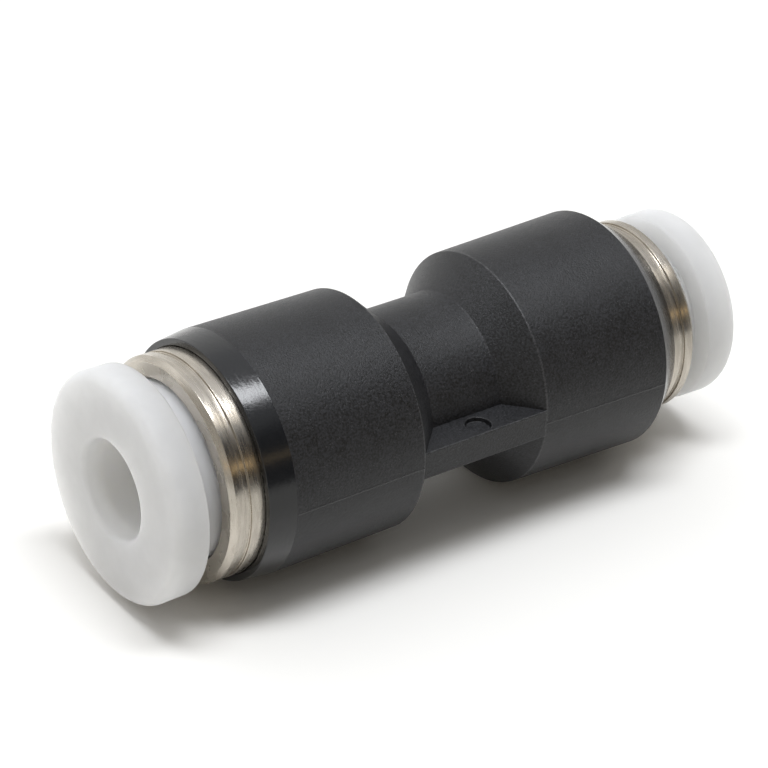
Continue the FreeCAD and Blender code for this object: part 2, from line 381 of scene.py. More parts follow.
@dataclass(frozen=True, kw_only=True)
class SparkErodedPolymer(Finish):
    """Black glass-filled polymer from a spark-eroded mould, with fine mottling and pale fibre flecks."""

    edges: WornAndHighlitEdges
    grain = Noise(9500.0, 3.0, 0.6)
    name: str = "spark_eroded_polymer"
    first: Colour = (0.0015, 0.0016, 0.0020)
    second: Colour = (0.0240, 0.0245, 0.0280)
    fleck: Colour = (0.085, 0.085, 0.090)
    # Pale colour of the edges: partly wear, partly a painted highlight
    wear_and_highlight: Colour = (0.085, 0.085, 0.089)
    tones: tuple[Layer, ...] = (Layer(grain, (0.0, 0.85), (0.36, 0.64)), Layer(Noise(700.0), (0.0, 0.15)))
    roughness: Layer = Layer(grain, (0.36, 0.50))
    reliefs: tuple[Relief, ...] = (
        Relief(Noise(24000.0, 2.0, 0.6), 0.00003, 0.51),
        Relief(grain, 0.00003, 0.85),
    )
    plain: tuple[tuple[str, Any], ...] = (("Specular IOR Level", 0.46),)
    fleck_scale: float = 8000.0
    fleck_size: Band = (0.0, 0.27)
    spread: Layer = Layer(Noise(2600.0, 0.0), band=(0.46, 0.60))
    patches: Layer = Layer(grain, (0.3, 1.0), (0.40, 0.62))
    worn_gloss: float = 0.35

    def inputs(self, bench: NodeBench) -> dict[str, Any]:
        """Works out the shader's inputs, with the flecks and the edges painted pale, partly as wear and
        partly as painted highlight.

        Args:
            bench: Node bench of the material.

        Returns:
            Value or output socket for each named input.
        """
        made = super().inputs(bench)
        cells = bench.add("ShaderNodeTexVoronoi", {"Vector": bench.place, "Scale": self.fleck_scale})
        near = bench.ramp(cells.outputs["Distance"], self.fleck_size, (1.0, 0.0))
        flecks = bench.math("MULTIPLY", near, bench.layer(self.spread))
        # Pale edges: partly wear, partly painted highlight in the base colour; their lower roughness is real
        wear_and_highlight_share = bench.math("MULTIPLY", self.edges.share(bench), bench.layer(self.patches))
        base = bench.blend(flecks, made["Base Color"], self.fleck)
        gloss = bench.math("MULTIPLY", wear_and_highlight_share, self.worn_gloss)
        return made | {
            "Base Color": bench.blend(wear_and_highlight_share, base, self.wear_and_highlight),
            "Roughness": bench.math("SUBTRACT", made["Roughness"], gloss),
        }


@dataclass(frozen=True, kw_only=True)
class MilkyAcetal(Finish):
    """Light grey acetal that lets light through, with a soft moulded sheen.

    Its thin walls, in the bore and behind the flange, have a paler base colour painted on them: a painted
    glow that stands in for the light that passes through the flange.
    """

    end: "PushInEnd"
    cloud = Noise(420.0, 3.0, 0.55)
    skin = Noise(5200.0)
    first: Colour = (0.610, 0.612, 0.620)
    second: Colour = (0.580, 0.582, 0.590)
    painted_glow: Colour = (0.980, 0.980, 0.970)
    tones: tuple[Layer, ...] = (Layer(cloud, band=(0.35, 0.65)),)
    roughness: Layer = Layer(skin, (0.43, 0.55))
    reliefs: tuple[Relief, ...] = (Relief(skin, 0.000004, 0.15), Relief(cloud, 0.00002, 0.12))
    plain: tuple[tuple[str, Any], ...] = (
        ("Specular IOR Level", 0.06),
        ("Subsurface Weight", 1.0),
        ("Subsurface Radius", (1.0, 1.0, 0.96)),
    )
    depth: Band = (0.0070, 0.0004)
    bore_fade: float = 0.35
    bore_depth: Band = (0.15, 1.4)
    behind_depth: Band = (0.05, 0.15)
    behind_share: Band = (0.0, 0.6)

    def inputs(self, bench: NodeBench) -> dict[str, Any]:
        """Works out the shader's inputs, with the painted glow on the thin walls and the light under the
        surface.

        Args:
            bench: Node bench of the material.

        Returns:
            Value or output socket for each named input.
        """
        made, thin = super().inputs(bench), self.thin(bench)
        return made | {
            # Painted glow: the base colour turns paler on the thin walls, in place of light that passes
            # through the flange
            "Base Color": bench.blend(thin, made["Base Color"], self.painted_glow),
            "Subsurface Scale": bench.ramp(thin, (0.0, 1.0), self.depth),
        }

    def thin(self, bench: NodeBench) -> Any:
        """Finds the thin walls in the bore and behind the flange, where the glow is painted.

        Args:
            bench: Node bench of the material.

        Returns:
            Socket of a share that is 1 on the thin walls and 0 on the flange.
        """
        x, y, z = bench.parts_in_mm()
        end = self.end
        sunk = bench.math("MULTIPLY", bench.math("SUBTRACT", end.x(end.depth), x), end.way)
        near_bore = bench.ramp(bench.length(y, z), (end.bore_r, end.bore_r + self.bore_fade), (1.0, 0.0))
        bore = bench.math("MULTIPLY", near_bore, bench.ramp(sunk, self.bore_depth))
        behind = bench.ramp(sunk, tuple(end.flange_length + d for d in self.behind_depth), self.behind_share)
        return bench.math("MAXIMUM", bore, behind)


def polished_polymer() -> Finish:
    """The same black polymer where the mould is polished, as on the tapered lips and in the bores.

    Returns:
        The finish.
    """
    fibres = Noise(13000.0, 2.0, 0.6)
    ripple = Noise((6000.0, 1500.0, 1500.0))
    return Finish(
        "polished_polymer",
        first=(0.0075, 0.008, 0.009),
        second=(0.016, 0.0165, 0.018),
        tones=(Layer(fibres, band=None),),
        roughness=Layer(fibres, (0.14, 0.22), (0.35, 0.7)),
        reliefs=(Relief(fibres, 0.000008, 0.55), Relief(ripple, 0.00002, 0.5)),
        plain=(("Coat Weight", 0.15), ("Coat Roughness", 0.12)),
    )


def nickel_plate() -> Finish:
    """Bright nickel over turned brass: turning lines run round the collar under a warm grey shine.

    Returns:
        The finish.
    """
    streaks = Noise((7000.0, 900.0, 900.0))
    lines = Noise((26000.0, 420.0, 420.0), 1.0)
    specks = Noise(12000.0, 2.0, 0.6)
    return TurnedPlate(
        "nickel_plate",
        first=(0.590, 0.546, 0.480),
        second=(0.455, 0.416, 0.360),
        tones=(Layer(streaks, (0.0, 0.6)), Layer(Noise(260.0), (0.0, 0.4), (0.35, 0.65))),
        roughness=Layer(streaks, (0.21, 0.32)),
        reliefs=(
            Relief(specks, 0.000004, 0.22),
            Relief(lines, 0.000005, 0.35),
            Relief(streaks, 0.000014, 0.40),
        ),
        plain=(("Metallic", 1.0), ("Anisotropic", 0.30), ("Anisotropic Rotation", 0.25)),
    )


def spring_steel() -> Finish:
    """Stamped stainless strip with a rolled grain."""
    grain = Noise((9000.0, 9000.0, 900.0))
    return Finish(
        "spring_steel",
        first=(0.62, 0.62, 0.63),
        second=(0.46, 0.46, 0.47),
        tones=(Layer(grain, band=None),),
        roughness=Layer(grain, (0.22, 0.36)),
        reliefs=(Relief(grain, 0.000005, 0.3),),
        plain=(("Metallic", 1.0),),
    )


def natural_acetal() -> Finish:
    """Off-white acetal of the backup rings, with the satin of a moulded inner part."""
    skin = Noise(8000.0)
    return Finish(
        "natural_acetal",
        first=(0.64, 0.62, 0.57),
        second=(0.57, 0.55, 0.50),
        tones=(Layer(Noise(700.0, 3.0), band=None),),
        roughness=Layer(skin, (0.37, 0.50)),
        reliefs=(Relief(skin, 0.000006, 0.2),),
    )


def seal_rubber() -> Finish:
    """Black nitrile rubber with a dusty bloom."""
    cloud = Noise(1800.0, 4.0, 0.6)
    return Finish(
        "seal_rubber",
        first=(0.018, 0.018, 0.018),
        second=(0.034, 0.034, 0.035),
        tones=(Layer(cloud, band=(0.4, 0.7)),),
        roughness=Layer(cloud, (0.54, 0.72)),
        reliefs=(Relief(Noise(15000.0), 0.000008, 0.3),),
    )


@dataclass(frozen=True)
class Corner:
    """Corner of a turned outline, at a place along the axis and a radius, with a round of its own."""

    along: float
    radius: float
    round: float = 0.0
    seam: bool = False

    @property
    def point(self) -> Vector:
        """The corner as a flat vector."""
        return Vector((self.along, self.radius))

    def rounded(self, before: "Corner", after: "Corner") -> list["Corner"]:
        """Divides the corner's round.

        Args:
            before: Corner before it.
            after: Corner after it.

        Returns:
            Points along its round, or the corner alone.
        """
        if self.round == 0.0:
            return [self]
        back = (before.point - self.point).normalized()
        ahead = (after.point - self.point).normalized()
        half = back.angle(ahead) / 2.0
        centre = self.point + (back + ahead).normalized() * (self.round / math.sin(half))
        start = self.point + back * (self.round / math.tan(half)) - centre
        end = self.point + ahead * (self.round / math.tan(half)) - centre
        steps = max(3, math.ceil((math.pi - 2.0 * half) / ROUND_STEP))
        points = [centre + start.slerp(end, i / steps).normalized() * self.round for i in range(steps + 1)]
        return [Corner(p.x, p.y, 0.0, self.seam) for p in points]


@dataclass(frozen=True)
class PartingLine:
    """Fine raised line that the two halves of the mould leave at +Y and -Y."""

    half_width: float = 0.05
    crest: float = 0.016
    height: float = 0.02

    def angles(self, radius: float) -> list[float]:
        """Angles round the axis, beside 0 and half a turn, where the section has its corners."""
        offsets = [side * reach / radius for side in (-1, 1) for reach in (self.half_width, self.crest)]
        return [middle + offset for middle in (0.0, math.pi) for offset in offsets]

    def lift(self, angle: float, radius: float) -> float:
        """Height of the line's section above the skin.

        Args:
            angle: Angle round the axis.
            radius: Radius on which the line lies.

        Returns:
            Height in millimetres.
        """
        off = abs(math.remainder(angle, math.pi)) * radius
        share = (self.half_width - off) / (self.half_width - self.crest)
        return self.height * max(0.0, min(1.0, share))


class Workpiece:
    """Mesh object under way, in millimetres about the axis of the fitting."""

    def __init__(self, name: str, verts: list[Vector], faces: list[list[int]]) -> None:
        """Makes a mesh object.

        Args:
            name: Name of the piece.
            verts: Vertices in millimetres.
            faces: Faces as lists of vertex numbers.
        """
        mesh = bpy.data.meshes.new(name)
        mesh.from_pydata(verts, [], faces)
        mesh.validate()
        self.obj = bpy.data.objects.new(name, mesh)
        bpy.context.scene.collection.objects.link(self.obj)

    @classmethod
    def turned(
        cls, name: str, corners: list[Corner], segments: int, line: PartingLine | None = None
    ) -> "Workpiece":
        """Turns an outline about X.

        Args:
            name: Name of the piece.
            corners: Corners of its closed outline.
            segments: Number of flat strips round it.
            line: Parting line on the corners that carry the seam.

        Returns:
            The turned piece.
        """
        points: list[Corner] = []
        for i, corner in enumerate(corners):
            points += corner.rounded(corners[i - 1], corners[(i + 1) % len(corners)])
        angles = [FULL_TURN * (i + 0.5) / segments for i in range(segments)]
        widest = max(p.radius for p in points)
        if line:
            angles = sorted(a % FULL_TURN for a in angles + line.angles(widest))
        verts = []
        for p in points:
            for angle in angles:
                r = p.radius + (line.lift(angle, widest) if line and p.seam else 0.0)
                verts.append(Vector((p.along, r * math.cos(angle), r * math.sin(angle))))
        count = len(angles)
        faces = []
        for i in range(len(points)):
            a, b = i * count, (i + 1) % len(points) * count
            faces += [[a + j, a + k, b + k, b + j] for j in range(count) for k in [(j + 1) % count]]
        piece = cls(name, verts, faces)
        piece.clean()
        return piece

    @classmethod
    def prism(cls, name: str, section: list[Point], low: float, high: float) -> "Workpiece":
        """Draws a section in the YZ plane out along X.

        Args:
            name: Name of the piece.
            section: Corners of the section as (y, z).
            low: X of one end.
            high: X of the other end.

        Returns:
            The drawn piece.
        """
        count = len(section)
        verts = [Vector((x, y, z)) for x in (low, high) for y, z in section]
        faces = [[i, (i + 1) % count, count + (i + 1) % count, count + i] for i in range(count)]
        faces += [list(range(count)), list(range(count, 2 * count))]
        piece = cls(name, verts, faces)
        piece.clean()
        return piece

    @contextmanager
    def opened(self) -> Iterator[bmesh.types.BMesh]:
        """Opens the mesh for editing and writes it back.

        Yields:
            The open mesh.
        """
        work = bmesh.new()
        work.from_mesh(self.obj.data)
        yield work
        work.to_mesh(self.obj.data)
        work.free()

    def clean(self) -> None:
        """Joins the vertices that lie on one another, as on the axis, and turns every face outward."""
        with self.opened() as work:
            bmesh.ops.remove_doubles(work, verts=work.verts, dist=SAME_POINT)
            bmesh.ops.recalc_face_normals(work, faces=work.faces)

    def move(self, matrix: Matrix) -> "Workpiece":
        """Moves the mesh by a matrix in millimetres and returns the piece."""
        self.obj.data.transform(matrix)
        return self

    def combine(self, tool: "Workpiece", cut: Cut) -> None:
        """Adds a tool's solid or removes it, and uses the tool up.

        Args:
            tool: The other solid.
            cut: Whether the tool is added or removed.
        """
        modifier = self.obj.modifiers.new("combine", "BOOLEAN")
        modifier.object = tool.obj
        modifier.operation = cut.value
        modifier.solver = "EXACT"
        graph = bpy.context.evaluated_depsgraph_get()
        made = bpy.data.meshes.new_from_object(self.obj.evaluated_get(graph))
        self.obj.modifiers.clear()
        old = self.obj.data
        self.obj.data = made
        made.name = self.obj.name
        bpy.data.meshes.remove(old)
        bpy.data.meshes.remove(tool.obj.data)

    def dress(
        self, materials: list[bpy.types.Material], pick: Callable[[Vector, Vector], int] | None = None
    ) -> None:
        """Scales the mesh to metres, gives it its materials and shades it smooth between creases.

        Args:
            materials: Materials of the piece.
            pick: Function from a face's centre in millimetres and its normal to the number of its material.
        """
        mesh = self.obj.data
        mesh.materials.clear()
        for material in materials:
            mesh.materials.append(material)
        for face in mesh.polygons:
            face.material_index = pick(face.center, face.normal) if pick else 0
        mesh.transform(Matrix.Scale(METRES_PER_MM, 4))
        mesh.shade_smooth()
        mesh.set_sharp_from_angle(angle=CREASE_ANGLE)
        self._part_finishes()
        weighted = self.obj.modifiers.new("even_normals", "WEIGHTED_NORMAL")
        weighted.keep_sharp = True
        weighted.weight = NORMAL_WEIGHT

    def _part_finishes(self) -> None:
        """Marks the edges between two finishes sharp, so that each keeps its own shading."""
        with self.opened() as work:
            for edge in work.edges:
                if len({face.material_index for face in edge.link_faces}) > 1:
                    edge.smooth = False


@dataclass(frozen=True)
class Seat:
    """Where a piece belongs: its name, the CAD node it stands for, the body it rides on and its slot."""

    piece: str
    node: str
    body: str
    slot: Slot

    def take(self, work: Workpiece) -> None:
        """Seats a finished piece.

        Args:
            work: The finished piece.
        """
        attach(work.obj, self.body)
        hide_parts(self.node)
        LOG.info("%s: %d faces, rides on %s", self.piece, len(work.obj.data.polygons), self.body)


@dataclass(eq=False)
class PushInEnd:
    """Sizes of one end of the fitting, and the five pieces that its barrel holds.

    Places along the end are counted from the tube's stop to the mouth. The tube's port, the face of the
    button and its travel come from the frame.
    """

    name: str
    flow_r: float
    barrel_wall: float
    draft: float
    lip_wall: float
    flange_rise: float
    collar_wall: float
    collar_proud: float
    collar_length: float
    teeth: int
    seat_gap: float = 0.05
    side_gap: float = 0.05
    press_gap: float = 0.02
    running_gap: float = 0.08
    travel_gap: float = 0.1
    bore_gap: float = 0.12
    nose_wall: float = 0.5
    pocket_width: float = 0.75
    skirt_wall: float = 0.7
    flange_length: float = 1.84
    barb_height: float = 0.3
    barb_gap: float = 0.25
    claw_thickness: float = 0.2
    claw_drop: float = 1.2
    claw_rim: float = 1.15
    claw_bite: float = 0.13
    nose_to_claw: float = 0.25
    backup_wall: float = 0.48
    backup_lip: float = 0.3
    backup_nose_gap: float = 0.22
    seal_wall: float = 1.6
    seal_length: float = 1.6
    lip_length: float = 1.42
    barrel_length: float = 7.36
    neck_r: float = 4.39

    def __post_init__(self) -> None:
        """Takes what the frame holds and works out the rest from it."""
        port = next(m for m in frame["record"]["mounts"] if m["name"] == f"{self.name}_tube_port")
        press = next(joint for joint in frame["joints"] if joint["name"] == f"{self.name}_press")
        self.way = float(port["axis"][0])
        self.stop = in_mm(port["pos_m"][0])
        self.seat_r = port["dims"]["r_mm"]
        self.travel = in_mm(press["range_m"][1])
        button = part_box(f"{self.name}_button")
        self.depth = max(self.way * (in_mm(corner[0]) - self.stop) for corner in button)
        self._set_radii()
        self._set_places()

    def _set_radii(self) -> None:
        """Works out the radii from the tube outward."""
        self.tube_r = self.seat_r - self.seat_gap
        self.bore_r = self.tube_r + self.bore_gap
        self.nose_r = self.bore_r + self.nose_wall
        self.pocket_r = self.nose_r + self.pocket_width
        self.skirt_r = self.pocket_r + self.skirt_wall
        self.flange_r = self.skirt_r + self.flange_rise
        self.barb_r = self.skirt_r + self.barb_height
        self.collar_bore_r = self.barb_r + self.barb_gap
        self.collar_r = self.collar_bore_r + self.collar_wall
        self.socket_r = self.collar_r + self.press_gap
        self.mouth_r = self.socket_r + self.barrel_wall
        self.waist_r = self.mouth_r - self.draft
        self.claw_r = self.socket_r - self.running_gap
        self.bend_r = self.claw_r - self.claw_rim
        self.tip_r = self.tube_r - self.claw_bite
        self.backup_r = self.bend_r + self.backup_wall
        self.seal_r = self.seat_r + self.seal_wall

    def _set_places(self) -> None:
        """Works out the places from the face of the button inward."""
        self.flange_at = self.depth - self.flange_length
        self.collar_face_at = self.flange_at - self.travel - self.travel_gap
        self.collar_at = self.collar_face_at - self.collar_length
        self.claw_at = self.collar_at - self.side_gap - self.claw_thickness
        slope = self.claw_drop / (self.bend_r - self.tip_r)
        crown_at = self.claw_at + self.claw_thickness - slope * (self.bend_r - self.nose_r)
        self.nose_at = crown_at + self.nose_to_claw
        self.backup_top_at = self.claw_at - self.side_gap
        self.backup_floor_at = self.nose_at - self.travel - self.backup_nose_gap
        self.backup_at = self.backup_floor_at - self.backup_lip
        self.seal_at = self.backup_at - self.seal_length
        self.mouth_at = self.collar_face_at - self.collar_proud
        self.barrel_at = self.mouth_at - self.lip_length
        self.waist_at = self.barrel_at - self.barrel_length

        # The shoulder lies at 45 degrees
        self.neck_at = self.waist_at - (self.waist_r - self.neck_r)

    def x(self, along: float) -> float:
        """X of a place along this end."""
        return self.stop + self.way * along

    def in_x(self, line: list[Corner]) -> list[Corner]:
        """Corners of a line along this end, moved to X."""
        return [Corner(self.x(c.along), c.radius, c.round, c.seam) for c in line]

    def seat(self, piece: str, node: str, slot: Slot, body: str = "") -> Seat:
        """Seat of one of this end's pieces, on a moving body of this end or else on the fitting."""
        rides_on = f"{self.name}_{body}" if body else "fitting"
        return Seat(f"{self.name}_{piece}", f"{self.name}_{node}", rides_on, slot)

    def build(self) -> None:
        """Builds the pieces from the mouth inward."""
        for kind in (ReleaseButton, Collar, ClawRing, BackupRing, LipSeal):
            kind(self).build()


@dataclass(frozen=True)
class MouldedBody:
    """Black moulded body: two barrels, the neck between them and the two flat webs across it."""

    large: PushInEnd
    small: PushInEnd
    line: PartingLine = PartingLine()
    line_stop: float = 0.02
    edge_round: float = 0.11
    lip_round: float = 0.05
    crease_round: float = 0.16
    bore_round: float = 0.05
    flow_round: float = 0.08
    web_root: float = 3.0
    web_half: float = 0.75
    web_step: float = 0.02
    web_round: float = 0.07
    web_steps: int = 6
    mark_inset: float = 0.78
    mark_r: float = 0.65
    mark_depth: float = 0.25
    mark_taper: float = 0.02
    mark_root: float = 0.04
    mark_round: float = 0.025
    mark_clear: float = 0.04
    mark_segments: int = 64
    inward: float = -0.2
    segments: int = 224
    seat: Seat = Seat("moulded_body", "body", "fitting", Slot.BODY)

    @property
    def web_reach(self) -> float:
        """How far the webs reach out, just inside the narrower waist."""
        return min(self.large.waist_r, self.small.waist_r) - self.web_step

    @property
    def mark(self) -> Point:
        """Middle of the ejector mark on the web at +Y."""
        necks = [end.x(end.neck_at) for end in (self.large, self.small)]
        return sum(necks) / 2.0, self.web_reach - self.mark_inset

    def lip_line(self, end: PushInEnd) -> list[Corner]:
        """Outside of one barrel from the neck to the mouth, with room under it for the parting line."""
        inset = self.line.height
        return end.in_x([
            Corner(end.neck_at, end.neck_r, self.crease_round),
            Corner(end.waist_at, end.waist_r - inset, self.edge_round, True),
            Corner(end.barrel_at - self.line_stop, end.mouth_r - inset, 0.0, True),
            Corner(end.barrel_at, end.mouth_r - inset),
            Corner(end.mouth_at, end.socket_r + end.lip_wall, self.lip_round),
        ])

    def bore_line(self, end: PushInEnd) -> list[Corner]:
        """Stepped bore of one barrel from the mouth to the flow passage."""
        backup_r, seal_r = end.backup_r + end.press_gap, end.seal_r + end.press_gap
        return end.in_x([
            Corner(end.mouth_at, end.socket_r, self.bore_round),
            Corner(end.backup_top_at, end.socket_r),
            Corner(end.backup_top_at, backup_r),
            Corner(end.backup_at, backup_r),
            Corner(end.backup_at, seal_r),
            Corner(end.seal_at, seal_r),
            Corner(end.seal_at, end.seat_r, self.bore_round),
            Corner(0.0, end.seat_r),
            Corner(0.0, end.flow_r, self.flow_round),
        ])

    def core(self) -> Workpiece:
        """Turns the two barrels, the neck and the bore.

        Returns:
            The turned core.
        """
        large, small = self.large, self.small
        step_x = (large.stop + small.stop) / 2.0
        step = [Corner(step_x, small.flow_r), Corner(step_x, large.flow_r)]
        outside = self.lip_line(large)[::-1] + self.lip_line(small)
        bore = self.bore_line(small) + step + self.bore_line(large)[::-1]
        return Workpiece.turned(self.seat.piece, outside + bore, self.segments, self.line)

    def web(self, side: int) -> Workpiece:
        """Draws one web with rounded long edges.

        Args:
            side: +1 for the web at +Y and -1 for the web at -Y.

        Returns:
            The web.
        """
        large, small = self.large, self.small
        y, z = self.web_reach - self.web_round, self.web_half - self.web_round
        edges = arc((y, -z), self.web_round, (-90.0, 0.0), self.web_steps)
        edges += arc((y, z), self.web_round, (0.0, 90.0), self.web_steps)
        section = [(self.web_root, -self.web_half), *edges, (self.web_root, self.web_half)]
        ends = large.x(large.waist_at), small.x(small.waist_at)
        return Workpiece.prism("web", [(side * y, z) for y, z in section], *ends)

    def mark_tool(self, side: int) -> Workpiece:
        """Makes the tool for the round ejector mark on top of one web, flared to round its rim.

        Args:
            side: +1 for the web at +Y and -1 for the web at -Y.

        Returns:
            The tool.
        """
        flare = [
            Corner(-self.mark_depth, 0.0),
            Corner(-self.mark_depth, self.mark_r - self.mark_taper, self.mark_root),
            Corner(-self.mark_round, self.mark_r),
            Corner(self.mark_clear, self.mark_r + self.mark_round + self.mark_clear),
            Corner(self.mark_clear, 0.0),
        ]
        tool = Workpiece.turned("mark_tool", flare, self.mark_segments)
        x, y = self.mark
        at = Matrix.Translation((x, side * y, self.web_half))
        return tool.move(at @ Matrix.Rotation(-math.pi / 2, 4, "Y"))

    def pick(self, centre: Vector, normal: Vector) -> int:
        """Chooses the finish of a face.

        Args:
            centre: Centre of the face.
            normal: Its normal.

        Returns:
            0 for the eroded outside and 1 for the polished lips and bore.
        """
        radius = math.hypot(centre.y, centre.z)
        outward = (normal.y * centre.y + normal.z * centre.z) / radius
        on_lip = any(end.way * (centre.x - end.x(end.barrel_at)) > 0.0 for end in (self.large, self.small))
        in_bore = outward < self.inward and radius < self.large.neck_r
        return 1 if on_lip or in_bore else 0

    def worn_and_highlit_edges(self) -> WornAndHighlitEdges:
        """Finds the edges that stand out, which are painted pale, partly as wear and partly as painted
        highlight.

        Returns:
            The waist edges, the webs' long edges, the rims of the ejector marks and the parting line.
        """
        waists = tuple((end.x(end.waist_at), end.waist_r) for end in (self.large, self.small))
        return WornAndHighlitEdges(
            waists,
            web_edge=(self.web_reach, self.web_half),
            web_span=(waists[0][0], waists[1][0]),
            mark=self.mark,
            mark_r=self.mark_r,
            barrel_r=self.small.waist_r,
        )

    def build(self) -> None:
        """Joins the core and the webs, cuts the ejector marks and dresses the body."""
        work = self.core()
        for side in (-1, 1):
            work.combine(self.web(side), Cut.ADD)
        for side in (-1, 1):
            work.combine(self.mark_tool(side), Cut.REMOVE)
        finishes = SparkErodedPolymer(edges=self.worn_and_highlit_edges()), polished_polymer()
        work.dress([finish.material() for finish in finishes], self.pick)
        self.seat.take(work)


@dataclass(frozen=True)
class HeldPiece:
    """Base of the pieces that a barrel holds: each is turned, and some then have bars cut out of them."""

    end: PushInEnd
    segments: int = 160

    def seat(self) -> Seat:
        """Where the piece belongs."""
        raise NotImplementedError

    def finish(self) -> Finish:
        """Finish of the piece."""
        raise NotImplementedError

    def outline(self) -> list[Corner]:
        """Closed outline of the turned blank, with places along the end."""
        raise NotImplementedError

    def tools(self) -> Iterator[Workpiece]:
        """Bars to cut out of the blank."""
        yield from ()

    def bars(
        self, section: list[Point], span: Band, count: int, first_deg: float = 0.0
    ) -> Iterator[Workpiece]:
        """Makes bars that lie evenly round the axis.

        Args:
            section: Section of the first bar as (y, z), before its turn.
            span: Places of its two ends along the end.
            count: Number of bars.
            first_deg: Angle of the first bar in degrees.

        Yields:
            The bars.
        """
        low, high = sorted(self.end.x(place) for place in span)
        for i in range(count):
            turn = Matrix.Rotation(math.radians(first_deg) + FULL_TURN * i / count, 4, "X")
            yield Workpiece.prism("bar", section, low, high).move(turn)

    def build(self) -> None:
        """Turns the blank, cuts it, dresses it and seats it."""
        seat = self.seat()
        work = Workpiece.turned(seat.piece, self.end.in_x(self.outline()), self.segments)
        for tool in self.tools():
            work.combine(tool, Cut.REMOVE)
        work.dress([self.finish().material()])
        seat.take(work)


@dataclass(frozen=True)
class ReleaseButton(HeldPiece):
    """Release button: rounded flange, bored nose and a slit skirt with snap barbs."""

    segments: int = 192
    flange_draft: float = 0.04
    edge_round: float = 0.5
    back_round: float = 0.10
    bore_round: float = 0.26
    nose_tip: float = 0.18
    nose_round: float = 0.04
    root_round: float = 0.06
    pocket_round: float = 0.08
    barb_setback: float = 1.05
    barb_length: float = 0.45
    barb_taper: float = 0.65
    barb_round: float = 0.05
    slit_width: float = 0.7
    slit_count: int = 4
    slit_angle_deg: float = 45.0
    slit_hidden: float = 0.2

    @property
    def barb_at(self) -> float:
        """Place of the barbs' outer side, just behind the collar's lip."""
        return self.end.collar_face_at - self.barb_setback

    @property
    def skirt_end_at(self) -> float:
        """Place of the skirt's inner end."""
        return self.barb_at - self.barb_length - self.barb_taper

    def seat(self) -> Seat:
        """Where the button belongs."""
        return self.end.seat("release_button", "button", Slot.BUTTON, "release")

    def finish(self) -> Finish:
        """Milky acetal that knows where this button's walls are thin."""
        return MilkyAcetal(name=f"{self.end.name}_acetal", end=self.end)

    def outline(self) -> list[Corner]:
        """Closed outline of the button before its slits are cut."""
        end = self.end
        return [
            Corner(end.nose_at, end.bore_r, self.root_round),
            Corner(end.depth, end.bore_r, self.bore_round),
            Corner(end.depth, end.flange_r, self.edge_round),
            Corner(end.flange_at, end.flange_r - self.flange_draft, self.back_round),
            Corner(end.flange_at, end.skirt_r, self.root_round),
            Corner(self.barb_at, end.skirt_r),
            Corner(self.barb_at, end.barb_r, self.barb_round),
            Corner(self.barb_at - self.barb_length, end.barb_r, self.barb_round),
            Corner(self.skirt_end_at, end.skirt_r - end.barb_height, self.barb_round),
            Corner(self.skirt_end_at, end.pocket_r, self.barb_round),
            Corner(end.flange_at, end.pocket_r, self.pocket_round),
            Corner(end.flange_at, end.nose_r, self.pocket_round),
            Corner(end.nose_at + self.nose_tip, end.nose_r, self.nose_round),
            Corner(end.nose_at, end.nose_r - self.nose_tip, self.nose_round),
        ]

    def tools(self) -> Iterator[Workpiece]:
        """Bars that cut the slits of the skirt, which end hidden in the collar.

        Returns:
            The bars.
        """
        end = self.end
        half = self.slit_width / 2.0
        inner, outer = (end.nose_r + end.pocket_r) / 2.0, end.barb_r + end.barb_gap
        section = [(-half, inner), (half, inner), (half, outer), (-half, outer)]
        span = (self.skirt_end_at - self.barb_length, end.collar_face_at - self.slit_hidden)
        return self.bars(section, span, self.slit_count, self.slit_angle_deg)


@dataclass(frozen=True)
class Collar(HeldPiece):
    """Nickel-plated turned collar with a chamfered face and grooves round its outside."""

    segments: int = 224
    lip_length: float = 1.0
    chamfer: float = 0.25
    sink: float = 0.12
    groove_at: float = 0.72
    groove_width: float = 0.32
    groove_depth: float = 0.12
    grip_grooves: int = 2
    grip_pitch: float = 0.7
    edge_round: float = 0.03
    root_round: float = 0.048

    def seat(self) -> Seat:
        """Where the collar belongs."""
        return self.end.seat("plated_collar", "collar", Slot.PLATE)

    def finish(self) -> Finish:
        """Plating of the collar."""
        return nickel_plate()

    def groove(self, low: float) -> list[Corner]:
        """Corners of one groove.

        Args:
            low: Place of its inner wall.

        Returns:
            Four corners, with the edges broken.
        """
        top, floor = self.end.collar_r, self.end.collar_r - self.groove_depth
        high = low + self.groove_width
        return [
            Corner(low, top, self.edge_round),
            Corner(low, floor, self.root_round),
            Corner(high, floor, self.root_round),
            Corner(high, top, self.edge_round),
        ]

    def outline(self) -> list[Corner]:
        """Works out the outline of the collar, from its inner end round to its bore.

        Returns:
            Corners of the closed outline.
        """
        end, edge = self.end, self.edge_round
        face, lip_r = end.collar_face_at, end.skirt_r + end.running_gap
        middle = (end.collar_at + self.chamfer + end.mouth_at - self.groove_width) / 2.0
        first = middle - self.grip_pitch * (self.grip_grooves - 1) / 2.0
        lows = [first + self.grip_pitch * i for i in range(self.grip_grooves)]
        lows.append(face - self.groove_at - self.groove_width)
        return [
            Corner(end.collar_at, end.collar_bore_r, edge),
            Corner(end.collar_at, end.collar_r - self.chamfer, edge),
            Corner(end.collar_at + self.chamfer, end.collar_r, edge),
            *(corner for low in lows for corner in self.groove(low)),
            Corner(face - self.chamfer, end.collar_r, edge),
            Corner(face, end.collar_r - self.chamfer, edge),
            Corner(face, lip_r + self.sink, edge),
            Corner(face - self.sink, lip_r, edge),
            Corner(face - self.lip_length, lip_r, edge),
            Corner(face - self.lip_length, end.collar_bore_r, edge),
        ]


